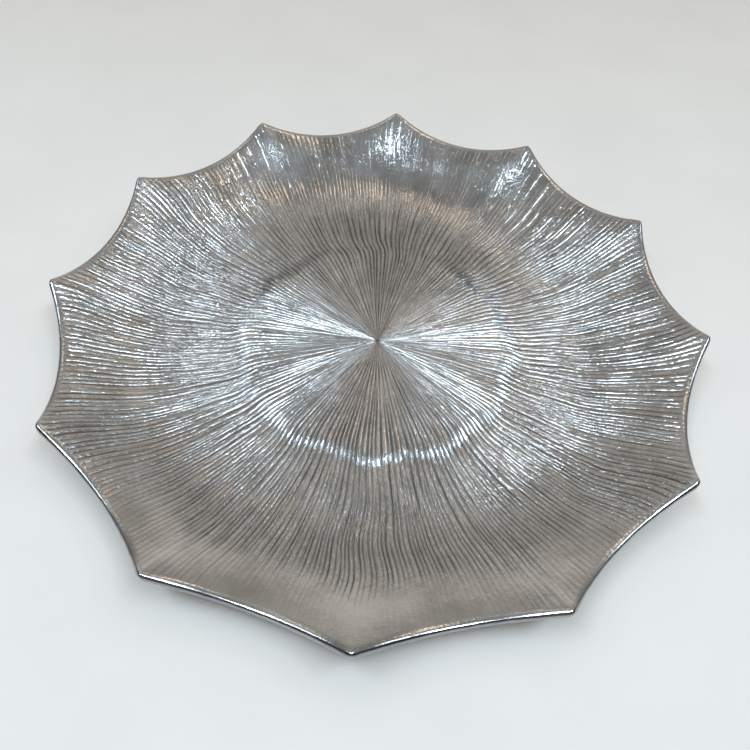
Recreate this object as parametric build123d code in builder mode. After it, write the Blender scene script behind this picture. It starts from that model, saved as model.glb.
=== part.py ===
from math import cos, degrees, pi, radians, sin, tan
import os

from build123d import *

# Sunburst platter: one cast dish with twelve points, resting on stick-on pads.
# Millimetres, +Z up, origin on the resting plane under the middle of the dish.
# One point of the dish lies on +X; +Y is the back.

# Overall sizes
point_radius = 201.0      # centre of the dish to the end of a point, before rounding
rim_height = 39.8         # resting plane to the top of a point, before rounding
points = 12               # points around the rim, with one gore between each pair

# Rim
scallop_depth = 6.3       # how far the rim curves in between two points, seen from above
scallop_drop = 11.3       # how much lower the rim is midway between two points
corner_radius = 7.0       # rounding of a point, seen from above
edge_radius = 1.8         # rounding of the rim edge
rim_thickness = 5.4       # thickness of the casting at the rim

# Floor and raised centre
floor_thickness = 4.0
floor_share = 0.47        # share of the rim radius that stays flat before the gores rise
centre_radius = 83.0      # corner of the raised centre, which lies on a rib
centre_scallop = 1.6      # how far the sides of the raised centre curve in
centre_rise = 1.4         # height of the raised centre above the floor around it
centre_slope = 8.0        # width of its sloping border

# Stick-on pads under the floor
pad_radius = 7.0
pad_height = 2.0
pad_edge = 0.5            # rounding of the lower edge of a pad
pad_margin = 0.3          # flat metal left around a pad
pad_angles = {
    "pad_back_right": 45,
    "pad_back_left": 135,
    "pad_front_left": 225,
    "pad_front_right": 315,
}

# Derived sizes
half_gore = pi / points
floor_bottom = pad_height
floor_top = floor_bottom + floor_thickness
rib_rise = rim_height - floor_top
middle_rise = rib_rise - scallop_drop
middle_radius = point_radius * cos(half_gore) - scallop_depth
floor_reach = middle_radius * floor_share
pad_ring = floor_reach - pad_radius - pad_margin
recess_radius = pad_ring - pad_radius - pad_margin


def climb(distance, rim_distance):
    """Share of the rise reached at a distance from the centre: level at first, then steepening."""
    along = max(distance / rim_distance - floor_share, 0.0) / (1 - floor_share)
    return along**4 * (4 - 3 * along)


def star_points(corner, side_middle, number):
    """A corner, the middle of the next side and the next corner of a twelve-sided star."""
    angle = 2 * half_gore * number
    return (
        (corner * cos(angle), corner * sin(angle)),
        (side_middle * cos(angle + half_gore), side_middle * sin(angle + half_gore)),
        (corner * cos(angle + 2 * half_gore), corner * sin(angle + 2 * half_gore)),
    )


# Outline of the rim seen from above: scallops between rounded points.
with BuildPart() as outline:
    with BuildSketch():
        with BuildLine():
            for number in range(points):
                ThreePointArc(*star_points(point_radius, middle_radius, number - 0.5))
        make_face()
        fillet(vertices(), radius=corner_radius)
    extrude(amount=2 * rim_height)

# One gore: sections across it, low in the middle and high on the two ribs, lofted outwards.
margin = 6.0
station_count = 13
outer_station = point_radius + margin
with BuildPart() as gore:
    for number in range(station_count + 1):
        share = number / station_count
        distance = floor_reach + (outer_station - floor_reach) * share
        thickening = (rim_thickness - floor_thickness) * climb(distance, middle_radius)
        thickness = floor_thickness + thickening
        rib_across = distance * tan(half_gore)
        across = rib_across + margin
        rib_top = floor_top + rib_rise * climb(distance / cos(half_gore), point_radius)
        middle_top = floor_top + middle_rise * climb(distance, middle_radius)
        side_top = middle_top + (rib_top - middle_top) * (across / rib_across) ** 2
        pull = 2 * middle_top - side_top
        with BuildSketch(Plane(origin=(distance, 0, 0), x_dir=(0, 1, 0), z_dir=(1, 0, 0))):
            with BuildLine():
                Bezier((-across, side_top), (0, pull), (across, side_top))
                Line((across, side_top), (across, side_top - thickness))
                Bezier(
                    (across, side_top - thickness),
                    (0, pull - thickness),
                    (-across, side_top - thickness),
                )
                Line((-across, side_top - thickness), (-across, side_top))
            make_face()
    loft()
    add(outline.part, mode=Mode.INTERSECT)
    rim_faces = gore.faces().filter_by(GeomType.CYLINDER)
    fillet(rim_faces.edges().filter_by(GeomType.LINE, reverse=True), radius=edge_radius)
    # The gore ends on its two ribs.
    reach = 2 * point_radius
    with BuildSketch():
        with BuildLine():
            Polyline(
                (0, 0),
                (reach, -reach * tan(half_gore)),
                (reach, reach * tan(half_gore)),
                (0, 0),
            )
        make_face()
    extrude(amount=2 * rim_height, mode=Mode.INTERSECT)

# The dish: flat floor, twelve gores and a raised centre, hollowed underneath.
with BuildPart() as dish:
    with BuildSketch(Plane.XY.offset(floor_bottom)):
        RegularPolygon(floor_reach, points, major_radius=False)
    extrude(amount=floor_thickness)
    with PolarLocations(0, points, start_angle=degrees(half_gore)):
        add(gore.part)
    for corner, height in ((centre_radius + centre_slope, 0), (centre_radius, centre_rise)):
        with BuildSketch(Plane.XY.offset(floor_top + height)):
            with BuildLine():
                for number in range(points):
                    side_middle = corner * cos(half_gore) - centre_scallop
                    ThreePointArc(*star_points(corner, side_middle, number))
            make_face()
    loft()
    with BuildSketch(Plane.XY.offset(floor_bottom)):
        Circle(recess_radius)
    extrude(amount=centre_rise, mode=Mode.SUBTRACT)

# The pads: four discs stuck to the flat ring of the floor.
pads = []
for name, angle in pad_angles.items():
    with BuildPart() as pad:
        centre = (pad_ring * cos(radians(angle)), pad_ring * sin(radians(angle)))
        with BuildSketch():
            with Locations(centre):
                Circle(pad_radius)
        extrude(amount=pad_height)
        fillet(pad.edges().sort_by(Axis.Z)[0], radius=pad_edge)
    pad.part.label = name
    pads.append(pad.part)

dish.part.label = "dish"

os.makedirs("parts", exist_ok=True)
export_step(dish.part, "parts/dish.step")
for piece in pads:
    export_step(piece, f"parts/{piece.label}.step")
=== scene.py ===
# %% [markdown]
# # A sunburst offering plate in cast aluminium
#
# The plate is one casting: a raised disc in the middle, twelve gores that climb
# to twelve blunt points, and hundreds of fine ridges that run out from the
# centre. It rests on four stick-on felt pads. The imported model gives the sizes;
# this lesson builds the visible surfaces around them with numpy, one function
# at a time, and then gives each surface its finish.

# %% Load the frame
import math

import bpy
import numpy as np
from mathutils import Matrix


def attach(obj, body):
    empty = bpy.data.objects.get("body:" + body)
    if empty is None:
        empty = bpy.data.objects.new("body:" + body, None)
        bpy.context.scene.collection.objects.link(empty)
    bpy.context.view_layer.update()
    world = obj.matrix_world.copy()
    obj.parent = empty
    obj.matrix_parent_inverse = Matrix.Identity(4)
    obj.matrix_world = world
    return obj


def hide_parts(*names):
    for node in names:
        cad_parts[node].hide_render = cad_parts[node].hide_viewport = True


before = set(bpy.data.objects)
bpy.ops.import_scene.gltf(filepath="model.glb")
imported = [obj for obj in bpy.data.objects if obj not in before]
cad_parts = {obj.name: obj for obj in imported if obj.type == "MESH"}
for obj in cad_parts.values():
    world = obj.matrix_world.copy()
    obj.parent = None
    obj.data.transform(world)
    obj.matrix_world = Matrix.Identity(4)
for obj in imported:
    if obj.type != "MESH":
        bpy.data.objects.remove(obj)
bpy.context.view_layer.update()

# %% [markdown]
# ## Sizes
#
# The same sizes as the solid model, in metres. Ridge and texture sizes come
# later, each where it is first used. The front is -Y and the back is +Y, and
# one point of the rim lies on +X.
#
# Two sizes are the visual model's own. The buffing wheel rolled the margin of
# the face down a little, so the last few millimetres before the rounded edge
# curve away: ROLL_MARGIN is where that starts and ROLL_DROP is how far it goes.

# %% Sizes of the casting
MM = 0.001
POINTS = 12
HALF_GORE = math.pi / POINTS

POINT_RADIUS = 201.0 * MM
RIM_HEIGHT = 39.8 * MM
SCALLOP_DEPTH = 6.3 * MM
SCALLOP_DROP = 11.3 * MM
CORNER_RADIUS = 7.0 * MM
EDGE_RADIUS = 1.8 * MM
RIM_THICKNESS = 5.4 * MM
ROLL_MARGIN = 5.4 * MM
ROLL_DROP = 0.60 * MM

FLOOR_BOTTOM = 2.0 * MM
FLOOR_THICKNESS = 4.0 * MM
FLOOR_SHARE = 0.47
CENTRE_RADIUS = 83.0 * MM
CENTRE_SCALLOP = 1.6 * MM
CENTRE_RISE = 1.4 * MM
CENTRE_SLOPE = 8.0 * MM
RECESS_RADIUS = 73.69 * MM

FLOOR_TOP = FLOOR_BOTTOM + FLOOR_THICKNESS
RIB_RISE = RIM_HEIGHT - FLOOR_TOP
MIDDLE_RISE = RIB_RISE - SCALLOP_DROP
MIDDLE_RADIUS = POINT_RADIUS * math.cos(HALF_GORE) - SCALLOP_DEPTH
print("rim radius midway between two points:", round(MIDDLE_RADIUS / MM, 2), "mm")

# %% [markdown]
# ## Camera
#
# The plate is seen from the front and well above: the camera looks down at
# about 54 degrees with a slightly wide lens, and leans a few degrees to one
# side as a hand-held camera does. The turn about Z comes first, then the tilt
# down, then the lean about the camera's own axis.

# %% Camera
CAMERA_PLACE = (-0.75 * MM, -276.26 * MM, 354.43 * MM)
CAMERA_DOWN = 54.322
CAMERA_LEAN = 5.082
CAMERA_TURN = -0.221
SENSOR_WIDTH = 36.0
FOCAL_LENGTH = 33.384


def aim(turn, down, lean):
    """Camera turn as a matrix: a turn about Z, a tilt, then a lean about the line of sight."""
    about_z = Matrix.Rotation(math.radians(turn), 4, "Z")
    tilt = Matrix.Rotation(math.radians(90.0 - down), 4, "X")
    about_sight = Matrix.Rotation(math.radians(lean), 4, "Z")
    return about_z @ tilt @ about_sight


camera_data = bpy.data.cameras.new("camera")
camera_data.sensor_width = SENSOR_WIDTH
camera_data.lens = FOCAL_LENGTH
camera = bpy.data.objects.new("camera", camera_data)
camera_turn = aim(CAMERA_TURN, CAMERA_DOWN, CAMERA_LEAN)
camera.matrix_world = Matrix.Translation(CAMERA_PLACE) @ camera_turn
bpy.context.scene.collection.objects.link(camera)
bpy.context.scene.camera = camera
print("camera stands", round(CAMERA_PLACE[2] / MM), "mm above the table")

# %% [markdown]
# ## Shape of the casting
#
# Seen from above, the rim is twelve arcs that curve inwards and meet in rounded
# points. Every arc is part of a large circle, so the distance from the centre
# of the plate to the rim along any ray has a plain formula. Moving the rim
# inwards by a margin only makes that circle larger and the rounding smaller,
# which gives the rows of the rounded edge with the same two functions.

# %% Outline of the rim
def gore_offset(turn):
    """Angle from the middle of the nearest gore, from minus to plus half a gore."""
    return np.mod(turn, 2 * HALF_GORE) - HALF_GORE


def arc_circle(corner, side_middle):
    """Radius and centre distance of the circle through two corners and the middle of the side."""
    half_chord = corner * math.sin(HALF_GORE)
    sag = corner * math.cos(HALF_GORE) - side_middle
    radius = (half_chord**2 + sag**2) / (2 * sag)
    return radius, side_middle + radius


def scallop_radius(turn, corner, side_middle, inset=0.0):
    """Distance along a ray to a ring of inward arcs: the near crossing with the arc's circle."""
    radius, centre = arc_circle(corner, side_middle)
    off = gore_offset(turn)
    return centre * np.cos(off) - np.sqrt((radius + inset) ** 2 - (centre * np.sin(off)) ** 2)


def rim_radius(turn, inset=0.0):
    """Distance along a ray to the rim, moved in by a margin: the arc, or the round of a point."""
    radius, centre = arc_circle(POINT_RADIUS, MIDDLE_RADIUS)
    ball = centre * math.cos(HALF_GORE)
    ball -= math.sqrt((radius + CORNER_RADIUS) ** 2 - (centre * math.sin(HALF_GORE)) ** 2)
    round_radius = CORNER_RADIUS - inset
    to_point = HALF_GORE - np.abs(gore_offset(turn))
    reach = np.maximum(round_radius**2 - (ball * np.sin(to_point)) ** 2, 0.0)
    rounded = ball * np.cos(to_point) + np.sqrt(reach)
    lean_in = math.atan2(centre * math.sin(HALF_GORE), centre * math.cos(HALF_GORE) - ball)
    touch_along = ball + round_radius * math.cos(lean_in)
    touch_angle = np.arctan2(round_radius * math.sin(lean_in), touch_along)
    arc = scallop_radius(turn, POINT_RADIUS, MIDDLE_RADIUS, inset)
    return np.where(to_point < touch_angle, rounded, arc)


print("rim radius at a point:", round(float(rim_radius(np.array(0.0))) / MM, 2), "mm")

# %% [markdown]
# A gore is low in its middle and high on the two ribs beside it. Both climb
# from the flat floor with the same curve, level at first and then steeper, and
# a parabola joins them across the gore. The rolled margin is one more parabola,
# taken off along the rim. The wheel reaches the points less well than the arcs
# between them, so the margin rolls less there.

# %% Height of the surface
ROLL_LOST_AT_POINT = 0.45
POINT_FROM = 0.75


def smooth_step(value, start, end):
    """0 before start, 1 after end, and a level-ended curve between them."""
    share = np.clip((value - start) / (end - start), 0.0, 1.0)
    return share * share * (3.0 - 2.0 * share)


def climb(distance, rim_distance):
    """Share of the rise at a distance from the centre: the fourth power, then easing off."""
    along = np.clip(distance / rim_distance - FLOOR_SHARE, 0.0, None) / (1.0 - FLOOR_SHARE)
    return along**4 * (4.0 - 3.0 * along)


def top_height(turn, radius):
    """Height of a gore: its middle height, plus the square of the way across times the rest."""
    off = gore_offset(turn)
    along = radius * np.cos(off)
    rib = FLOOR_TOP + RIB_RISE * climb(along / math.cos(HALF_GORE), POINT_RADIUS)
    middle = FLOOR_TOP + MIDDLE_RISE * climb(along, MIDDLE_RADIUS)
    across = np.tan(off) / math.tan(HALF_GORE)
    return middle + (rib - middle) * across**2


def rolled_height(turn, radius):
    """The gore surface with its margin rolled down: less the square of the way into the margin."""
    into_margin = np.clip(ROLL_MARGIN - (rim_radius(turn) - radius), 0.0, None)
    way = into_margin / (ROLL_MARGIN - EDGE_RADIUS)
    to_point = smooth_step(np.abs(gore_offset(turn)), POINT_FROM * HALF_GORE, HALF_GORE)
    kept = 1.0 - ROLL_LOST_AT_POINT * to_point
    return top_height(turn, radius) - ROLL_DROP * kept * way**2


def bottom_height(turn, radius):
    """Height of the underside: the top less a thickness that grows with the climb."""
    along = radius * np.cos(gore_offset(turn))
    growth = (RIM_THICKNESS - FLOOR_THICKNESS) * climb(along, MIDDLE_RADIUS)
    return top_height(turn, radius) - FLOOR_THICKNESS - growth


def centre_border(turn, corner):
    """Distance along a ray to a star-shaped border of the centre, from its corner radius."""
    return scallop_radius(turn, corner, corner * math.cos(HALF_GORE) - CENTRE_SCALLOP)


# %% [markdown]
# ## Ridges
#
# The ridges were modelled by hand in the pattern: rounded cords with sharp
# grooves between them, no two alike in width, height or line. The grid that
# carries the face follows them. It has the same number of columns all the way
# from the centre to the rim: eight to a ridge, until each ridge splits into two
# of four on the way to the rim. Each groove lies exactly on a column, which
# keeps it sharp.
#
# The ridges of the raised centre and those of the gores are two systems with
# turns of their own. The mean of the difference is taken out, so that a ridge
# moves sideways as little as possible where it passes from one to the other.

# %% Ridge counts and a repeatable source of chance
COLUMNS = 1440
INNER_RIDGES = 180
OUTER_RIDGES = 180
INNER_UNEVEN = 0.34
OUTER_UNEVEN = 0.30
INNER_COLUMNS = COLUMNS // INNER_RIDGES
OUTER_COLUMNS = COLUMNS // OUTER_RIDGES
chance = np.random.default_rng(1207)
print(INNER_COLUMNS, "columns to an inner ridge,", OUTER_COLUMNS, "to an outer one")


def soft_noise(around, along, cells_around, cells_along):
    """Smooth values from -1 to 1 on a wrapped grid: random corners, level-ended blends between."""
    corners = chance.uniform(-1.0, 1.0, (cells_around, cells_along + 2))
    x = np.mod(around, 1.0) * cells_around
    y = np.clip(along, 0.0, 1.0) * cells_along
    left = np.floor(x).astype(int) % cells_around
    low = np.minimum(np.floor(y).astype(int), cells_along)
    right = (left + 1) % cells_around
    blend_x = smooth_step(x - np.floor(x), 0.0, 1.0)
    blend_y = smooth_step(y - low, 0.0, 1.0)
    near = corners[left, low] * (1 - blend_x) + corners[right, low] * blend_x
    far = corners[left, low + 1] * (1 - blend_x) + corners[right, low + 1] * blend_x
    return near * (1 - blend_y) + far * blend_y


def ridge_turns(ridges, columns_each, unevenness):
    """Turn of each column: uneven ridge widths added up, with even columns inside each ridge."""
    widths = 1.0 + unevenness * chance.uniform(-1.0, 1.0, ridges)
    edges = np.concatenate([[0.0], np.cumsum(widths)]) * 2 * np.pi / widths.sum()
    places = np.arange(COLUMNS) / columns_each
    return np.interp(places, np.arange(ridges + 1), edges)


inner_turns = ridge_turns(INNER_RIDGES, INNER_COLUMNS, INNER_UNEVEN)
outer_turns = ridge_turns(2 * OUTER_RIDGES, OUTER_COLUMNS // 2, OUTER_UNEVEN)
drift = outer_turns - inner_turns
inner_turns = inner_turns + drift.mean()
print("largest step sideways between the two ridge systems:",
      round(float(np.abs(outer_turns - inner_turns).max() * CENTRE_RADIUS / MM), 2), "mm")

# %% [markdown]
# ## Rows of the face
#
# The rows run as circles on the raised centre, follow its star-shaped border
# closely, and then change over to the outline of the rim. The last five lie
# close together, each at a margin of its own from the rim, because the rolled
# margin curves most there.
#
# No ridge runs quite straight, so every row gets its turns shifted a little:
# the shift is a slow random wave, and it fades out towards the middle.

# %% Rows of the face
CENTRE_ROWS = np.array([2.5, 6.0, 11.0, 18.0, 27.0, 38.0, 50.0, 62.0, 71.0]) * MM
BORDER_ROWS = 11
BORDER_INSIDE = 4.0 * MM
BORDER_OUTSIDE = 5.0 * MM
GORE_ROWS = 19
ROLL_ROWS = np.array([4.7, 4.0, 3.4, 2.8, 2.3]) * MM

CHANGE_FROM, CHANGE_TO = 74.0 * MM, 98.0 * MM
RIDGE_MEANDER = 0.011
MEANDER_FROM, MEANDER_TO = 20 * MM, 60 * MM


def row_radii(turns):
    """Radius of every point: circles, then shares of the way over the border and to the rim."""
    low = centre_border(turns, CENTRE_RADIUS) - BORDER_INSIDE
    high = centre_border(turns, CENTRE_RADIUS + CENTRE_SLOPE) + BORDER_OUTSIDE
    border = low + (high - low) * np.linspace(0.0, 1.0, BORDER_ROWS)[:, None]
    gore_shares = (np.arange(GORE_ROWS + 1) / GORE_ROWS)[1:, None]
    gore = high + (rim_radius(turns, ROLL_MARGIN) - high) * gore_shares
    centre = np.repeat(CENTRE_ROWS[:, None], COLUMNS, 1)
    roll = np.stack([rim_radius(turns, margin) for margin in ROLL_ROWS])
    return np.concatenate([centre, border, gore, roll])


def row_of_turns(turns, row):
    """The same radii where every row has turns of its own, a little unlike its neighbours'."""
    return row_radii(turns[row])[row]


column = np.arange(COLUMNS)
column_share = column / COLUMNS
first_radius = row_radii(outer_turns)
outside = smooth_step(first_radius, CHANGE_FROM, CHANGE_TO)
meander_around = np.broadcast_to(column_share, first_radius.shape)
meander = RIDGE_MEANDER * soft_noise(meander_around, first_radius / POINT_RADIUS, 20, 9)
meander = meander * smooth_step(first_radius, MEANDER_FROM, MEANDER_TO)
face_turn = inner_turns * (1.0 - outside) + outer_turns * outside + meander
face_rows = first_radius.shape[0]
face_radius = np.stack([row_of_turns(face_turn, row) for row in range(face_rows)])
print("the face has", face_rows, "rows of", COLUMNS, "points")

# %% [markdown]
# ## Depth of the grooves
#
# No crest stands above the surface of the solid model: the grooves are cut
# below it. Across a ridge the depth follows a rounded cord; along it, depth
# wanders. The depth is a share of the pitch, which is the width of one ridge.
# Near the centre neighbouring ridges melt into one, first in pairs and then in
# fours, and the groove beside a merged ridge is as many times deeper. Towards
# the rim each ridge splits in two, at a place of its own.

# %% Cross-section of a ridge
ROUNDNESS = 2.1
DEPTH_WANDER = 0.35


def cord(across):
    """Height across a ridge, 0 in the groove to 1 on the crest: one less a power of the way out."""
    return 1.0 - np.abs(2.0 * across - 1.0) ** ROUNDNESS


def uneven(ridges, radius):
    """Slow changes of depth along each ridge, around 1."""
    around = np.broadcast_to(column_share, radius.shape)
    return 1.0 + DEPTH_WANDER * soft_noise(around, radius / POINT_RADIUS, ridges, 10)


def inner_grooves(radius, depth_share, merge_start, merge_end):
    """Depth below the crest: pitch times a share; inwards, ridges melt into pairs and fours."""
    ridge = column // INNER_COLUMNS
    wander = 0.5 * merge_start * chance.uniform(-1.0, 1.0, INNER_RIDGES)[ridge]
    single = smooth_step(radius + wander, merge_start, merge_end)
    paired = smooth_step(radius + 0.4 * wander, 0.35 * merge_start, 0.7 * merge_start)
    one = cord((column % INNER_COLUMNS) / INNER_COLUMNS)
    two = cord((column % (2 * INNER_COLUMNS)) / (2 * INNER_COLUMNS))
    four = cord((column % (4 * INNER_COLUMNS)) / (4 * INNER_COLUMNS))
    merged = 2 * (1.0 - two) * paired + 4 * (1.0 - four) * (1 - paired)
    depth = (1.0 - one) * single + merged * (1 - single)
    pitch = 2 * np.pi * radius / INNER_RIDGES
    return depth * pitch * depth_share * uneven(INNER_RIDGES, radius)


SPLIT_LENGTH = 22 * MM
WIDE_CORD, NARROW_CORD = 0.75, 0.5


def outer_grooves(radius, depth_share, split_from, split_to):
    """Depth below the crest: wide cords that each split in two somewhere between two radii."""
    ridge = column // OUTER_COLUMNS
    start = chance.uniform(split_from, split_to, OUTER_RIDGES)[ridge]
    split = smooth_step(radius, start, start + SPLIT_LENGTH)
    wide = cord((column % OUTER_COLUMNS) / OUTER_COLUMNS)
    half_columns = OUTER_COLUMNS // 2
    narrow = cord((column % half_columns) / half_columns)
    pitch = 2 * np.pi * radius / OUTER_RIDGES
    whole_depth = (1.0 - wide) * pitch * WIDE_CORD
    split_depth = (1.0 - narrow) * pitch * NARROW_CORD
    depth = whole_depth * (1.0 - split) + split_depth * split
    return depth * depth_share * uneven(2 * OUTER_RIDGES, radius)


INNER_SHARE = 0.215
OUTER_SHARE = 0.185
inner_depth = inner_grooves(face_radius, INNER_SHARE, 22 * MM, 46 * MM)
outer_depth = outer_grooves(face_radius, OUTER_SHARE, 84 * MM, 124 * MM)
print("grooves are up to", round(float(outer_depth.max() / MM), 2), "mm deep")

# %% [markdown]
# The raised centre ends in a gentle step that each inner ridge crosses at its
# own place, so that from above the border is a ragged saw-tooth line. Crests
# reach a little further out than grooves. Past the step the depth of the inner
# grooves gives way to that of the outer ones.

# %% Step at the border of the raised centre
STEP_RAGGED = 1.5 * MM
STEP_CREST = 1.6 * MM
STEP_LENGTH = 1.15 * CENTRE_SLOPE
around = np.broadcast_to(column_share, face_radius.shape)
along = face_radius / POINT_RADIUS
inner_ridge = column // INNER_COLUMNS
ragged = STEP_RAGGED * chance.uniform(-1.0, 1.0, INNER_RIDGES)[inner_ridge]
reach = ragged + STEP_CREST * (cord((column % INNER_COLUMNS) / INNER_COLUMNS) - 0.5)
step_start = centre_border(face_turn, CENTRE_RADIUS) + reach
past_step = smooth_step(face_radius, step_start, step_start + STEP_LENGTH)
step_height = CENTRE_RISE * (1.0 - past_step)
ridge_depth = inner_depth * (1.0 - past_step) + outer_depth * past_step

# %% [markdown]
# The wall isn't a perfect sweep. It dips by up to a sixth of a millimetre in
# bands around the plate, which the polish turns into soft bands of light, and
# small dimples lie all over it.

# %% Swells and dimples of the wall
SWELL_DEPTH = 0.16 * MM
SWELL_LENGTH = 17.0 * MM
SWELL_FROM, SWELL_FULL = 92 * MM, 105 * MM
DIMPLE_DEPTH = 0.10 * MM
swell_phase = face_radius / SWELL_LENGTH + 0.8 * soft_noise(around, along, 26, 7)
swell = SWELL_DEPTH * (0.5 - 0.5 * np.cos(2 * np.pi * swell_phase))
swell *= smooth_step(face_radius, SWELL_FROM, SWELL_FULL)
dimples = DIMPLE_DEPTH * (1.0 + soft_noise(around, along, 120, 34))
relief = swell + dimples * smooth_step(face_radius, 4 * MM, 20 * MM)
print("the wall dips by up to", round(float(swell.max() / MM), 2), "mm")

# %% [markdown]
# A buffing wheel wears ridges shallow. It took most off the front gores, in a
# band towards the rim, and off the outer half of the back gores. Along the
# whole rim it took them almost away, and the swells and dimples with them. The
# share of the depth that is left is used again for the finish.

# %% Buffed gores and margin
BUFFED_EVERYWHERE, BUFFED_FRONT, BUFFED_BACK = 0.05, 0.68, 0.62
MARGIN_BUFFED = 0.88
facing_front = smooth_step(-np.sin(face_turn), 0.55, 0.95)
facing_back = smooth_step(np.sin(face_turn), 0.50, 0.92)
rim_share = face_radius / rim_radius(face_turn)
front_band = smooth_step(rim_share, 0.80, 0.90)
back_band = smooth_step(rim_share, 0.60, 0.78)
buffed = front_band * (BUFFED_EVERYWHERE + BUFFED_FRONT * facing_front)
buffed = np.maximum(buffed, BUFFED_BACK * facing_back * back_band)
to_rim = rim_radius(face_turn) - face_radius
polished_margin = 1.0 - smooth_step(to_rim, 2.2 * MM, ROLL_MARGIN + MM)
worked = (1.0 - buffed) * (1.0 - MARGIN_BUFFED * polished_margin)
ridge_depth = ridge_depth * worked
relief *= 1.0 - 0.8 * polished_margin
print("buffing leaves between", round(float(worked.min()), 2), "and 1 of the depth")
face_height = rolled_height(face_turn, face_radius) + step_height - ridge_depth - relief

# %% [markdown]
# ## Rim edge
#
# A cutter rounded the edge above and below, and a wheel polished it. In a cut
# across the rim, the rounding is part of a circle that touches the rolled
# margin and the upright side. The circle's centre is one radius in from the
# side and one radius below the sloping margin, measured square to it.

# %% Rounded edge, above and below
ROUND_ROWS = 6
NICK_SHARE = 0.8
FILING_DEPTH = 0.10 * MM
edge_turn = face_turn[-1]


def edge_slope(height, turn):
    """Slope of a surface towards the rim, from its heights at two margins from the edge."""
    near = height(turn, rim_radius(turn, EDGE_RADIUS))
    far = height(turn, rim_radius(turn, EDGE_RADIUS + MM))
    return np.arctan((near - far) / MM)


def edge_rows(turn, centre_height, first, last, rows):
    """Rows around the rounding: margin and height from the sine and cosine of the way round it."""
    way = first + (last - first) * np.linspace(0.0, 1.0, rows)[:, None]
    inset = EDGE_RADIUS * (1.0 - np.sin(way))
    turns = np.broadcast_to(turn, way.shape)
    return rim_radius(turns, inset), centre_height + EDGE_RADIUS * np.cos(way)


top_slope = edge_slope(rolled_height, edge_turn)
under_slope = edge_slope(bottom_height, edge_turn)
at_edge = rim_radius(edge_turn, EDGE_RADIUS)
upper_centre = rolled_height(edge_turn, at_edge) - EDGE_RADIUS / np.cos(top_slope)
lower_centre = bottom_height(edge_turn, at_edge) + EDGE_RADIUS / np.cos(under_slope)
level = np.full(COLUMNS, math.pi / 2)
upper_radius, upper_height = edge_rows(edge_turn, upper_centre, -top_slope, level, ROUND_ROWS)
lower_radius, lower_height = edge_rows(
    edge_turn, lower_centre, level, math.pi - under_slope, ROUND_ROWS - 1
)

# The last traces of the grooves nick the upper rounding.
nick = np.linspace(1.0, 0.0, ROUND_ROWS)[:, None] ** 2 * ridge_depth[-1] * NICK_SHARE
upper_height = upper_height - nick

# A little hand filing shows as an uneven line along the side.
filing = FILING_DEPTH * (1.0 + soft_noise(column_share, np.zeros(COLUMNS), 420, 1))
upper_radius = upper_radius - filing * np.linspace(0.0, 1.0, ROUND_ROWS)[:, None]
lower_radius = lower_radius - filing * np.linspace(1.0, 0.3, ROUND_ROWS - 1)[:, None]
print("highest point of the rim:", round(float(upper_height.max() / MM), 2), "mm")

# %% [markdown]
# ## Underside
#
# Nobody polishes the underside: it keeps the skin of the sand mould. It comes
# back in from the rim parallel to the face, runs level over the ring that the
# pads are stuck to, and ends in a shallow round recess.

# %% Rows of the underside
UNDER_ROWS = 8
UNDER_MARGIN = 3.8 * MM
RING_RADIUS = 91.6 * MM
SAND_FULL = 102 * MM
RECESS_EDGE = 0.5 * MM
SAND_SKIN = 0.12 * MM
under_share = np.linspace(0.0, 1.0, UNDER_ROWS)[:, None]
under_from = rim_radius(edge_turn, UNDER_MARGIN)
under_radius = under_from + (RING_RADIUS - under_from) * under_share
under_turn = np.broadcast_to(edge_turn, under_radius.shape)
under_height = bottom_height(under_turn, under_radius)
under_around = np.broadcast_to(column_share, under_radius.shape)
sand = SAND_SKIN * (1.0 + soft_noise(under_around, under_radius / POINT_RADIUS, 260, 60))
under_height = under_height + sand * smooth_step(under_radius, RING_RADIUS, SAND_FULL)

recess_roof = FLOOR_BOTTOM + CENTRE_RISE
recess_profile = np.array([
    (RECESS_RADIUS + RECESS_EDGE, FLOOR_BOTTOM),
    (RECESS_RADIUS + 0.15 * RECESS_EDGE, FLOOR_BOTTOM + 0.3 * RECESS_EDGE),
    (RECESS_RADIUS, FLOOR_BOTTOM + RECESS_EDGE),
    (RECESS_RADIUS, recess_roof - 0.4 * RECESS_EDGE),
    (RECESS_RADIUS - RECESS_EDGE, recess_roof),
    (0.5 * RECESS_RADIUS, recess_roof),
])
recess_radius = np.repeat(recess_profile[:, :1], COLUMNS, 1)
recess_height = np.repeat(recess_profile[:, 1:], COLUMNS, 1)
print("underside has", UNDER_ROWS + len(recess_profile), "rows")

# %% [markdown]
# ## One closed mesh
#
# All rows are stacked into one grid that runs from the middle of the face over
# the rim to the middle of the underside. Rows and columns are joined by
# four-sided faces, and a fan of triangles closes each end, so the surface has
# no open seam. Each corner of a face also gets two texture coordinates: its
# place counted in ridges around the plate, and its distance from the centre.

# %% Grid, faces and texture coordinates
LENGTH_UNIT = 10 * MM


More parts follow.
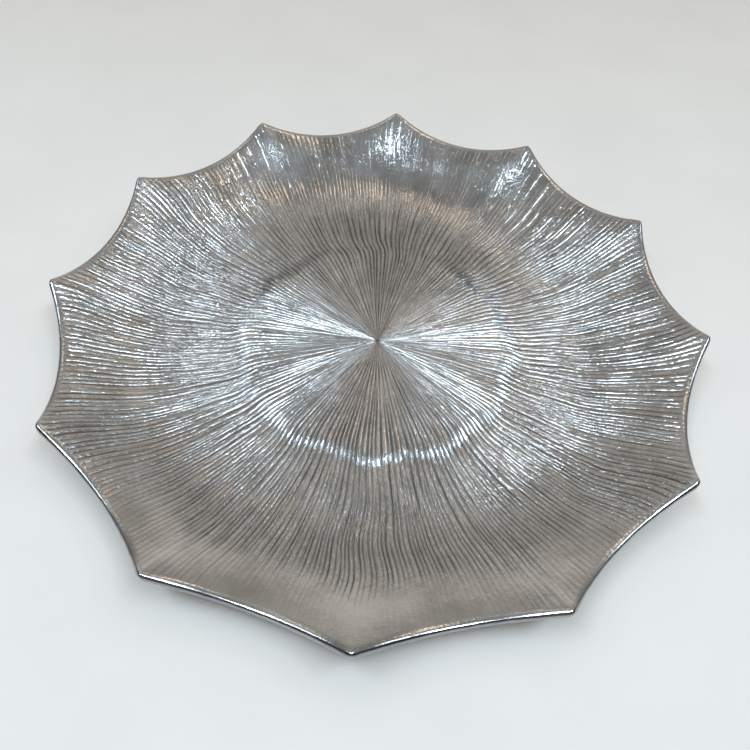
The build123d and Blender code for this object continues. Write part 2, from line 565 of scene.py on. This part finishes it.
def grid_mesh(name, turns, radii, heights, top_middle, bottom_middle):
    """A closed mesh from rows of points: x and y are radius times cosine and sine of the turn."""
    rows, columns = radii.shape
    points = np.stack([radii * np.cos(turns), radii * np.sin(turns), heights], -1).reshape(-1, 3)
    points = np.concatenate([points, [[0, 0, top_middle], [0, 0, bottom_middle]]])
    index = np.arange(rows * columns).reshape(rows, columns)
    after = np.roll(index, -1, 1)
    quads = np.stack([index[:-1], index[1:], after[1:], after[:-1]], -1).reshape(-1, 4)
    top_fan = np.stack([np.full(columns, rows * columns), index[0], after[0]], -1)
    bottom_fan = np.stack([np.full(columns, rows * columns + 1), after[-1], index[-1]], -1)
    corners = np.concatenate([quads.ravel(), top_fan.ravel(), bottom_fan.ravel()])
    sizes = np.concatenate([np.full(len(quads), 4), np.full(2 * columns, 3)])
    mesh = bpy.data.meshes.new(name)
    mesh.vertices.add(len(points))
    mesh.vertices.foreach_set("co", points.ravel().astype(np.float32))
    mesh.loops.add(len(corners))
    mesh.loops.foreach_set("vertex_index", corners.astype(np.int32))
    mesh.polygons.add(len(sizes))
    starts = np.concatenate([[0], np.cumsum(sizes)[:-1]])
    mesh.polygons.foreach_set("loop_start", starts.astype(np.int32))
    mesh.polygons.foreach_set("use_smooth", np.ones(len(sizes), bool))
    mesh.update(calc_edges=True)
    return mesh


def grid_coordinates(mesh, radii, ridges_per_row):
    """Texture coordinates: u counts ridges around the plate, v is the radius in centimetres."""
    rows, columns = radii.shape
    step = np.arange(columns + 1) / columns
    u = ridges_per_row[:, None] * step
    v = np.concatenate([radii, radii[:, :1]], 1) / LENGTH_UNIT
    band = ridges_per_row[1:, None] * step
    quad = np.stack([
        np.stack([band[:, :-1], v[:-1, :-1]], -1),
        np.stack([band[:, :-1], v[1:, :-1]], -1),
        np.stack([band[:, 1:], v[1:, 1:]], -1),
        np.stack([band[:, 1:], v[:-1, 1:]], -1),
    ], 2)
    middle = 0.5 * (u[0, :-1] + u[0, 1:])
    top = np.stack([
        np.stack([middle, np.zeros(columns)], -1),
        np.stack([u[0, :-1], v[0, :-1]], -1),
        np.stack([u[0, 1:], v[0, 1:]], -1),
    ], 1)
    bottom = np.stack([
        np.stack([middle, np.zeros(columns)], -1),
        np.stack([u[-1, 1:], v[-1, 1:]], -1),
        np.stack([u[-1, :-1], v[-1, :-1]], -1),
    ], 1)
    layer = mesh.uv_layers.new(name="ridges")
    flat = np.concatenate([quad.ravel(), top.ravel(), bottom.ravel()])
    layer.uv.foreach_set("vector", flat.astype(np.float32))


# %% Build the dish
recess_turn = np.broadcast_to(edge_turn, recess_radius.shape)
all_turns = np.concatenate([
    face_turn,
    np.broadcast_to(edge_turn, upper_radius.shape),
    np.broadcast_to(edge_turn, lower_radius.shape),
    under_turn,
    recess_turn,
])
all_radii = np.concatenate([
    face_radius, upper_radius, lower_radius, under_radius, recess_radius,
])
all_heights = np.concatenate([
    face_height, upper_height, lower_height, under_height, recess_height,
])
rows_after_face = len(all_radii) - face_rows
MIDDLE_DIP = 0.05 * MM
middle_top = FLOOR_TOP + CENTRE_RISE - MIDDLE_DIP
dish_mesh = grid_mesh("dish_casting", all_turns, all_radii, all_heights, middle_top, recess_roof)
row_number = np.arange(len(all_radii))
inner_last = len(CENTRE_ROWS) + BORDER_ROWS // 2
ridges_per_row = np.where(row_number <= inner_last, INNER_RIDGES, 2 * OUTER_RIDGES)
grid_coordinates(dish_mesh, all_radii, ridges_per_row.astype(float))
print("the dish has", 2 * COLUMNS * len(all_radii), "triangles")

# %% [markdown]
# The finish needs to know two more things about each point of the mesh, and
# both are kept there as attributes. One is how near the point is to the crest
# of its ridge: 0 in the deepest groove of its row and 1 on a crest or where the
# ridges are buffed away. The other is how strongly the marks of hand work show:
# less where the wheel has been, less towards the middle, where the ridges are
# narrow, and more in some patches than in others.

# %% Crests and hand work
GROOVE_FULL = 0.9
FULL_MARKS_FROM = 120 * MM
MARKS_LEAST, MARKS_IN_PATCHES = 0.75, 0.55


def keep_values(mesh, label, values):
    """An attribute from a grid of values, with one more for the middle of each end."""
    layer = mesh.attributes.new(label, "FLOAT", "POINT")
    flat = np.append(values.ravel(), [values[0, 0], 0.0])
    layer.data.foreach_set("value", flat.astype(np.float32))


deepest = ridge_depth.max(1, keepdims=True)
crest = 1.0 - worked * np.clip(ridge_depth / (GROOVE_FULL * deepest), 0.0, 1.0)
patches = smooth_step(soft_noise(around, along, 11, 7), -0.1, 0.8)
marks = worked * np.clip(face_radius / FULL_MARKS_FROM, 0.0, 1.0)
marks = marks * (MARKS_LEAST + MARKS_IN_PATCHES * patches)
smooth_rows = np.ones((rows_after_face, COLUMNS))
keep_values(dish_mesh, "crest", np.concatenate([crest, smooth_rows]))
keep_values(dish_mesh, "hand_work", np.concatenate([marks, 0.0 * smooth_rows]))
print("hand work is up to", round(float(marks.max()), 2))

# %% Which rows get which finish
FACE, EDGE, UNDER = 0, 1, 2
band_material = np.full(len(all_radii) - 1, UNDER)
band_material[: face_rows + 1] = FACE
band_material[face_rows + 1 : face_rows + 2 * ROUND_ROWS - 1] = EDGE
material_index = np.concatenate([
    np.repeat(band_material, COLUMNS),
    np.full(COLUMNS, FACE),
    np.full(COLUMNS, UNDER),
])
dish_mesh.polygons.foreach_set("material_index", material_index.astype(np.int32))
dish = bpy.data.objects.new("dish_casting", dish_mesh)
bpy.context.scene.collection.objects.link(dish)
print(int((band_material == EDGE).sum()), "bands of faces have the finish of the edge")

# %% [markdown]
# ## Felt pads
#
# Four die-cut discs of black felt are stuck under the floor so that the metal
# doesn't mark the table. A die leaves the edge slightly soft and the underside
# a little uneven, so the disc is a profile turned about its own centre with
# small waves added.

# %% Pads
PAD_RADIUS = 7.0 * MM
PAD_HEIGHT = 2.0 * MM
PAD_RING = 80.99 * MM
PAD_TURNS = {
    "pad_back_right": 45.0,
    "pad_back_left": 135.0,
    "pad_front_left": 225.0,
    "pad_front_right": 315.0,
}
PAD_COLUMNS = 96
PAD_FUZZ = 0.06 * MM
pad_profile = np.array([
    (0.25, 1.00), (0.60, 1.00), (0.90, 1.00), (0.985, 0.995), (1.00, 0.95),
    (0.995, 0.75), (1.00, 0.50), (0.992, 0.30), (0.97, 0.14), (0.93, 0.05),
    (0.86, 0.01), (0.72, 0.00), (0.55, 0.00), (0.38, 0.00), (0.20, 0.00),
])


def pad_mesh(name, degrees):
    """A turned disc: profile shares of the radius and height, with small waves in the felt."""
    one_row = np.arange(PAD_COLUMNS) * 2 * np.pi / PAD_COLUMNS
    turns = np.broadcast_to(one_row, (len(pad_profile), PAD_COLUMNS))
    share = pad_profile[:, :1] * np.ones((1, PAD_COLUMNS))
    height = pad_profile[:, 1:] * np.ones((1, PAD_COLUMNS))
    fuzz = PAD_FUZZ * (1.0 + soft_noise(turns / (2 * np.pi), height, 40, 8))
    side = smooth_step(share, 0.5, 1.0)
    radii = share * PAD_RADIUS - fuzz * side
    lift = PAD_FUZZ * (1.0 + soft_noise(turns / (2 * np.pi), share, 14, 6)) * 0.5
    heights = height * PAD_HEIGHT + lift * (height < 0.5)
    mesh = grid_mesh(name, turns, radii, heights, PAD_HEIGHT, 0.0)
    place = math.radians(degrees)
    middle = (PAD_RING * math.cos(place), PAD_RING * math.sin(place), 0.0)
    mesh.transform(Matrix.Translation(middle))
    return mesh


pads = {}
for name, degrees in PAD_TURNS.items():
    pads[name] = bpy.data.objects.new("felt_" + name, pad_mesh("felt_" + name, degrees))
    bpy.context.scene.collection.objects.link(pads[name])
print(len(pads), "pads")

# %% [markdown]
# ## Finishes
#
# The grain that the sand of the mould leaves in a casting shows in all three
# metal finishes, so it is a node group, placed in each with its own values.

# %% Helpers for nodes
def add_node(tree, kind, **values):
    """A node of that kind, with named settings and named or numbered input values."""
    node = tree.nodes.new(kind)
    inputs = values.pop("inputs", {})
    for setting, value in values.items():
        setattr(node, setting, value)
    for socket, value in inputs.items():
        node.inputs[socket].default_value = value
    return node


def join(tree, source, output, target, socket):
    """A link from one node's output to another's input."""
    tree.links.new(source.outputs[output], target.inputs[socket])


def math_node(tree, operation, first, second=None, clamp=False):
    """A Math node whose inputs are numbers or (node, output) pairs."""
    node = add_node(tree, "ShaderNodeMath", operation=operation, use_clamp=clamp)
    for position, value in enumerate((first, second)):
        if isinstance(value, tuple):
            join(tree, value[0], value[1], node, position)
        elif value is not None:
            node.inputs[position].default_value = value
    return node


def bump_node(tree, height, output, distance, under=None):
    """A Bump node that leans the normal by a height times a distance, after an earlier bump."""
    node = add_node(tree, "ShaderNodeBump", inputs={"Strength": 1.0, "Distance": distance})
    join(tree, height, output, node, "Height")
    if under is not None:
        join(tree, under, "Normal", node, "Normal")
    return node


def new_group(name, inputs, outputs):
    """An empty shader node group: float inputs, a vector input where None, and float outputs."""
    group = bpy.data.node_groups.new(name, "ShaderNodeTree")
    for label, value in inputs.items():
        kind = "NodeSocketVector" if value is None else "NodeSocketFloat"
        socket = group.interface.new_socket(name=label, in_out="INPUT", socket_type=kind)
        if value is not None:
            socket.default_value = value
    for label in outputs:
        group.interface.new_socket(name=label, in_out="OUTPUT", socket_type="NodeSocketFloat")
    start = group.nodes.new("NodeGroupInput")
    end = group.nodes.new("NodeGroupOutput")
    return group, start, end


# %% [markdown]
# Casting grain is a fine, even roughness with a few pits where a grain of sand
# stuck. The group gives a height, a mask of the pits, and a slow mottle.

# %% Casting grain
casting_grain, grain_in, grain_out = new_group(
    "casting_grain",
    {"Place": None, "Grain size": 900.0, "Pits": 0.5},
    ["Height", "Pit mask", "Mottle"],
)
fine = add_node(casting_grain, "ShaderNodeTexNoise", inputs={"Detail": 3.0, "Roughness": 0.6})
join(casting_grain, grain_in, "Place", fine, "Vector")
join(casting_grain, grain_in, "Grain size", fine, "Scale")
pit_scale = math_node(casting_grain, "MULTIPLY", (grain_in, "Grain size"), 0.55)
pit_cells = add_node(casting_grain, "ShaderNodeTexVoronoi", feature="F1")
join(casting_grain, grain_in, "Place", pit_cells, "Vector")
join(casting_grain, pit_scale, 0, pit_cells, "Scale")
pit_where = add_node(casting_grain, "ShaderNodeTexNoise", inputs={"Scale": 60.0, "Detail": 2.0})
join(casting_grain, grain_in, "Place", pit_where, "Vector")
pit_round = math_node(casting_grain, "SUBTRACT", 0.30, (pit_cells, "Distance"), clamp=True)
pit_some = math_node(casting_grain, "SUBTRACT", (pit_where, 0), 0.52, clamp=True)
pit_gain = math_node(casting_grain, "MULTIPLY", (pit_some, 0), (grain_in, "Pits"))
pit_mask = math_node(casting_grain, "MULTIPLY", (pit_round, 0), (pit_gain, 0))
pit_strong = math_node(casting_grain, "MULTIPLY", (pit_mask, 0), 40.0, clamp=True)
grain_height = math_node(casting_grain, "SUBTRACT", (fine, 0), (pit_strong, 0))
mottle = add_node(casting_grain, "ShaderNodeTexNoise", inputs={
    "Scale": 45.0, "Detail": 4.0, "Roughness": 0.6,
})
join(casting_grain, grain_in, "Place", mottle, "Vector")
join(casting_grain, grain_height, 0, grain_out, "Height")
join(casting_grain, pit_strong, 0, grain_out, "Pit mask")
join(casting_grain, mottle, 0, grain_out, "Mottle")

# %% [markdown]
# ## Ridged face
#
# The face is bright aluminium. The crests are polished; the grooves are
# painted darker, partly for a little dark oxide and partly as painted shade in
# the grooves, which the relief alone casts too weakly. The cords weren't drawn
# in one stroke, and three layers of noise say so: strokes that run for
# centimetres along the ridges, dashes of a few millimetres where a cord swells
# or pinches, and fine chatter of the tool.
# They break the highlight along a ridge into short lengths.
#
# All three read the ridge coordinates of the mesh, so that they bend and widen
# with the ridges. The hand_work attribute sets their strength.

# %% Material of the face
def new_material(name):
    """A new material, its node tree, and the Principled BSDF in it."""
    material = bpy.data.materials.new(name)
    material.use_nodes = True
    tree = material.node_tree
    shader = next(n for n in tree.nodes if n.type == "BSDF_PRINCIPLED")
    return material, tree, shader


def colour_ramp(tree, source, output, stops):
    """A colour ramp with the given (place, colour) stops, fed from an output."""
    ramp = add_node(tree, "ShaderNodeValToRGB")
    while len(ramp.color_ramp.elements) < len(stops):
        ramp.color_ramp.elements.new(0.5)
    for element, (place, colour) in zip(ramp.color_ramp.elements, stops):
        element.position = place
        element.color = (*colour, 1.0)
    join(tree, source, output, ramp, "Fac")
    return ramp


def cast_metal(name, grain_size, pits):
    """A metallic material, its tree, its shader, and casting grain on Object coordinates."""
    material, tree, shader = new_material(name)
    shader.inputs["Metallic"].default_value = 1.0
    place = add_node(tree, "ShaderNodeTexCoord")
    grain = add_node(tree, "ShaderNodeGroup", node_tree=casting_grain)
    join(tree, place, "Object", grain, "Place")
    grain.inputs["Grain size"].default_value = grain_size
    grain.inputs["Pits"].default_value = pits
    return material, tree, shader, grain


face_material, face_tree, face_shader, face_grain = cast_metal(
    "bright_ridged_aluminium", 1100.0, 0.5
)
ridge_place = add_node(face_tree, "ShaderNodeUVMap", uv_map="ridges")
crest_value = add_node(face_tree, "ShaderNodeAttribute", attribute_name="crest")
work_value = add_node(face_tree, "ShaderNodeAttribute", attribute_name="hand_work")


# %% Relief of the face: strokes, dashes, chatter and grain
def ridge_noise(across, along_ridge, **values):
    """Noise in ridge coordinates: cells to a ridge across, and to a centimetre along."""
    place = add_node(face_tree, "ShaderNodeMapping", inputs={"Scale": (across, along_ridge, 1.0)})
    join(face_tree, ridge_place, "UV", place, "Vector")
    noise = add_node(face_tree, "ShaderNodeTexNoise", inputs={"Scale": 1.0, **values})
    join(face_tree, place, "Vector", noise, "Vector")
    return noise


strokes = ridge_noise(2.3, 0.45, Detail=1.5, Roughness=0.5)
dashes = ridge_noise(1.5, 2.4, Detail=2.5, Roughness=0.6, Distortion=0.5)
chatter = ridge_noise(2.6, 7.0, Detail=2.0, Roughness=0.5, Distortion=0.4)
stroke_bump = bump_node(face_tree, strokes, 0, 0.50 * MM)
dash_bump = bump_node(face_tree, dashes, 0, 0.55 * MM, stroke_bump)
chatter_bump = bump_node(face_tree, chatter, 0, 0.16 * MM, dash_bump)
for bump in (stroke_bump, dash_bump, chatter_bump):
    join(face_tree, work_value, "Fac", bump, "Strength")
grain_bump = bump_node(face_tree, face_grain, "Height", 0.06 * MM, chatter_bump)
join(face_tree, grain_bump, "Normal", face_shader, "Normal")

# %% Colour and roughness of the face
WHITE = (1.0, 1.0, 1.0)
# Grooves are painted darker than crests: partly dark oxide, partly painted shade in the grooves.
oxide_and_groove_shade = colour_ramp(face_tree, crest_value, "Fac", [
    (0.00, (0.16, 0.15, 0.14)), (0.42, (0.48, 0.475, 0.465)), (0.90, (0.89, 0.89, 0.885)),
])
tone = colour_ramp(face_tree, face_grain, "Mottle", [
    (0.35, (0.80, 0.80, 0.79)), (0.65, WHITE),
])
face_colour = add_node(face_tree, "ShaderNodeMix", data_type="RGBA", blend_type="MULTIPLY",
                       inputs={"Factor": 1.0})
face_tree.links.new(oxide_and_groove_shade.outputs["Color"], face_colour.inputs["A"])
face_tree.links.new(tone.outputs["Color"], face_colour.inputs["B"])
face_tree.links.new(face_colour.outputs["Result"], face_shader.inputs["Base Color"])
rough = math_node(face_tree, "MULTIPLY", (face_grain, "Mottle"), 0.16)
groove_rough = math_node(face_tree, "SUBTRACT", 1.0, (crest_value, "Fac"), clamp=True)
groove_more = math_node(face_tree, "MULTIPLY", (groove_rough, 0), 0.18)
rough_sum = math_node(face_tree, "ADD", (rough, 0), (groove_more, 0))
rough_all = math_node(face_tree, "ADD", (rough_sum, 0), 0.10)
join(face_tree, rough_all, 0, face_shader, "Roughness")

# %% [markdown]
# ## Polished edge and sand-cast underside
#
# The edge was filed and buffed, so it is smooth with a few small nicks. A
# polished edge mirrors the room sideways and reads as a dark line around the
# bright face, and its darker metal stands in for that. The underside is matt,
# pale grey and evenly rough.

# %% Materials of the edge and the underside
edge_material, edge_tree, edge_shader, edge_grain = cast_metal(
    "polished_aluminium_edge", 500.0, 0.8
)
edge_bump = bump_node(edge_tree, edge_grain, "Height", 0.04 * MM)
join(edge_tree, edge_bump, "Normal", edge_shader, "Normal")
edge_colour = colour_ramp(edge_tree, edge_grain, "Mottle", [
    (0.30, (0.27, 0.28, 0.30)), (0.70, (0.42, 0.43, 0.45)),
])
join(edge_tree, edge_colour, "Color", edge_shader, "Base Color")
edge_rough = math_node(edge_tree, "MULTIPLY_ADD", (edge_grain, "Mottle"), 0.18)
edge_rough.inputs[2].default_value = 0.06
join(edge_tree, edge_rough, 0, edge_shader, "Roughness")

under_material, under_tree, under_shader, under_grain = cast_metal(
    "sand_cast_underside", 1500.0, 1.0
)
under_bump = bump_node(under_tree, under_grain, "Height", 0.22 * MM)
join(under_tree, under_bump, "Normal", under_shader, "Normal")
under_colour = colour_ramp(under_tree, under_grain, "Mottle", [
    (0.30, (0.44, 0.44, 0.435)), (0.70, (0.60, 0.605, 0.61)),
])
join(under_tree, under_colour, "Color", under_shader, "Base Color")
under_rough = math_node(under_tree, "MULTIPLY_ADD", (under_grain, "Mottle"), 0.25)
under_rough.inputs[2].default_value = 0.38
join(under_tree, under_rough, 0, under_shader, "Roughness")

for material in (face_material, edge_material, under_material):
    dish_mesh.materials.append(material)
print(len(dish_mesh.materials), "finishes on the casting")

# %% [markdown]
# ## Felt
#
# Pressed wool felt: short fibres in every direction, a matt near-black that
# is a little lighter where the fibres stand up.

# %% Material of the pads
felt_material, felt_tree, felt_shader = new_material("black_felt")
felt_place = add_node(felt_tree, "ShaderNodeTexCoord")
fibres = add_node(felt_tree, "ShaderNodeTexNoise", inputs={
    "Scale": 2600.0, "Detail": 4.0, "Distortion": 1.2,
})
join(felt_tree, felt_place, "Object", fibres, "Vector")
clumps = add_node(felt_tree, "ShaderNodeTexNoise", inputs={"Scale": 420.0, "Detail": 2.0})
join(felt_tree, felt_place, "Object", clumps, "Vector")
felt_height = math_node(felt_tree, "ADD", (fibres, 0), (clumps, 0))
felt_bump = bump_node(felt_tree, felt_height, 0, 0.15 * MM)
join(felt_tree, felt_bump, "Normal", felt_shader, "Normal")
felt_colour = colour_ramp(felt_tree, fibres, 0, [
    (0.35, (0.012, 0.011, 0.010)), (0.70, (0.060, 0.057, 0.054)),
])
join(felt_tree, felt_colour, "Color", felt_shader, "Base Color")
felt_rough = math_node(felt_tree, "MULTIPLY_ADD", (clumps, 0), 0.2)
felt_rough.inputs[2].default_value = 0.78
join(felt_tree, felt_rough, 0, felt_shader, "Roughness")
felt_shader.inputs["Sheen Weight"].default_value = 0.35
for pad in pads.values():
    pad.data.materials.append(felt_material)

# %% [markdown]
# ## Tie the pieces to the frame
#
# The casting and the pads stand for the plain solids of the same name.

# %% Ride and replace
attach(dish, "root")
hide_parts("dish")
for name, pad in pads.items():
    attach(pad, "root")
    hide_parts(name)

# %% [markdown]
# ## Floor
#
# A plain pale floor, matt and a little mottled. It is six metres wide, so it
# fills the view from above and reaches the horizon in a low view.

# %% Floor
FLOOR_SIZE = 6.0
floor_mesh = bpy.data.meshes.new("floor")
half = FLOOR_SIZE / 2
floor_mesh.from_pydata(
    [(-half, -half, 0), (half, -half, 0), (half, half, 0), (-half, half, 0)], [], [(0, 1, 2, 3)]
)
floor = bpy.data.objects.new("floor", floor_mesh)
bpy.context.scene.collection.objects.link(floor)
floor_material, floor_tree, floor_shader = new_material("pale_floor")
floor_place = add_node(floor_tree, "ShaderNodeTexCoord")
floor_noise = add_node(floor_tree, "ShaderNodeTexNoise", inputs={"Scale": 14.0, "Detail": 3.0})
join(floor_tree, floor_place, "Object", floor_noise, "Vector")
floor_colour = colour_ramp(floor_tree, floor_noise, 0, [
    (0.30, (0.73, 0.71, 0.68)), (0.70, (0.76, 0.74, 0.71)),
])
join(floor_tree, floor_colour, "Color", floor_shader, "Base Color")
floor_shader.inputs["Roughness"].default_value = 0.75
floor_shader.inputs["Specular IOR Level"].default_value = 0.2
floor_mesh.materials.append(floor_material)

# %% [markdown]
# ## Lights
#
# A mirror-like plate shows what is around it, so the studio matters. Two cool
# panels hang in front and above, to the right and to the left. A second pair
# hangs further out, and two strong boxes stand low at the sides: the ridges at
# the left and right need light from there for their long highlights. Two small
# warm lamps behind the plate show as warm tints on the far wall. The last light
# is a wide wash from above that lights the floor. It is kept out of
# reflections, because the metal would mirror it as one white sheet.

# %% Lights
COOL = (0.72, 0.87, 1.0)
COOLEST = (0.70, 0.86, 1.0)
WARM = (1.0, 0.78, 0.55)
WARMEST = (1.0, 0.76, 0.52)
LAMPLIGHT = (1.0, 0.90, 0.78)
PLATE_MIDDLE = np.zeros(3)


def softbox(name, place, size, power, colour):
    """A rectangular area light at a place, turned to face the middle of the plate."""
    data = bpy.data.lights.new(name, "AREA")
    data.shape = "RECTANGLE"
    data.size, data.size_y = size
    data.energy = power
    data.color = colour
    light = bpy.data.objects.new(name, data)
    direction = PLATE_MIDDLE - np.array(place)
    direction = direction / np.linalg.norm(direction)
    heading = math.atan2(direction[0], -direction[1])
    tilt = math.acos(-direction[2])
    light.matrix_world = (
        Matrix.Translation(place) @ Matrix.Rotation(heading, 4, "Z") @ Matrix.Rotation(tilt, 4, "X")
    )
    bpy.context.scene.collection.objects.link(light)
    return light


softbox("panel_right", (0.50, -0.37, 1.50), (0.58, 0.38), 12.5, COOL)
softbox("panel_left", (-0.50, -0.37, 1.50), (0.56, 0.38), 12.5, COOL)
softbox("far_right", (1.00, 0.12, 1.40), (0.50, 0.40), 5.5, COOLEST)
softbox("far_left", (-1.00, 0.05, 1.40), (0.45, 0.35), 4.0, COOLEST)
softbox("side_right", (1.50, -0.20, 0.80), (0.95, 0.80), 80.0, COOL)
softbox("side_left", (-1.50, -0.20, 0.80), (0.95, 0.80), 72.0, COOL)
softbox("warm_right", (0.42, 0.78, 1.40), (0.22, 0.22), 0.9, WARMEST)
softbox("warm_left", (-0.55, 0.80, 1.30), (0.22, 0.22), 0.5, WARM)
floor_wash = softbox("floor_wash", (0.0, 0.0, 2.60), (3.0, 3.0), 30.0, LAMPLIGHT)
floor_wash.visible_glossy = False

# %% [markdown]
# ## Room
#
# The room is a graded background with no objects in it. Up and down, a warm
# back wall runs from bright near the floor to dim overhead. To the left and
# right a darker wall takes over, and everything towards the front is dimmed to
# half. The steepest parts of the back gores mirror that side of the room, and
# the dimming keeps them calmer than the gores at the sides.

# %% Soft grey room
world = bpy.data.worlds.new("studio")
bpy.context.scene.world = world
world.use_nodes = True
room = world.node_tree
background = next(n for n in room.nodes if n.type == "BACKGROUND")
direction = add_node(room, "ShaderNodeTexCoord")
split = add_node(room, "ShaderNodeSeparateXYZ")
join(room, direction, "Generated", split, "Vector")
back_wall = colour_ramp(room, split, "Z", [
    (0.00, (0.60, 0.565, 0.52)),
    (0.25, (0.46, 0.43, 0.39)),
    (0.46, (0.27, 0.25, 0.225)),
    (0.62, (0.27, 0.255, 0.235)),
    (0.80, (0.37, 0.352, 0.33)),
    (0.91, (0.20, 0.195, 0.187)),
    (1.00, (0.16, 0.16, 0.158)),
])
side_wall = colour_ramp(room, split, "Z", [
    (0.00, (0.36, 0.35, 0.335)),
    (0.30, (0.15, 0.148, 0.145)),
    (0.72, (0.17, 0.17, 0.17)),
    (1.00, (0.19, 0.19, 0.188)),
])
sideways = math_node(room, "ABSOLUTE", (split, "X"))
side_mask = colour_ramp(room, sideways, 0, [(0.25, (0.0, 0.0, 0.0)), (0.60, WHITE)])
walls = add_node(room, "ShaderNodeMix", data_type="RGBA")
room.links.new(side_mask.outputs["Color"], walls.inputs["Factor"])
room.links.new(back_wall.outputs["Color"], walls.inputs["A"])
room.links.new(side_wall.outputs["Color"], walls.inputs["B"])
toward_front = math_node(room, "MULTIPLY", (split, "Y"), -1.0)
front_shade = colour_ramp(room, toward_front, 0, [(0.05, WHITE), (0.45, (0.50, 0.50, 0.50))])
shaded = add_node(room, "ShaderNodeMix", data_type="RGBA", blend_type="MULTIPLY",
                  inputs={"Factor": 1.0})
room.links.new(walls.outputs["Result"], shaded.inputs["A"])
room.links.new(front_shade.outputs["Color"], shaded.inputs["B"])
room.links.new(shaded.outputs["Result"], background.inputs["Color"])
background.inputs["Strength"].default_value = 1.0
bpy.context.scene.view_settings.view_transform = "Standard"
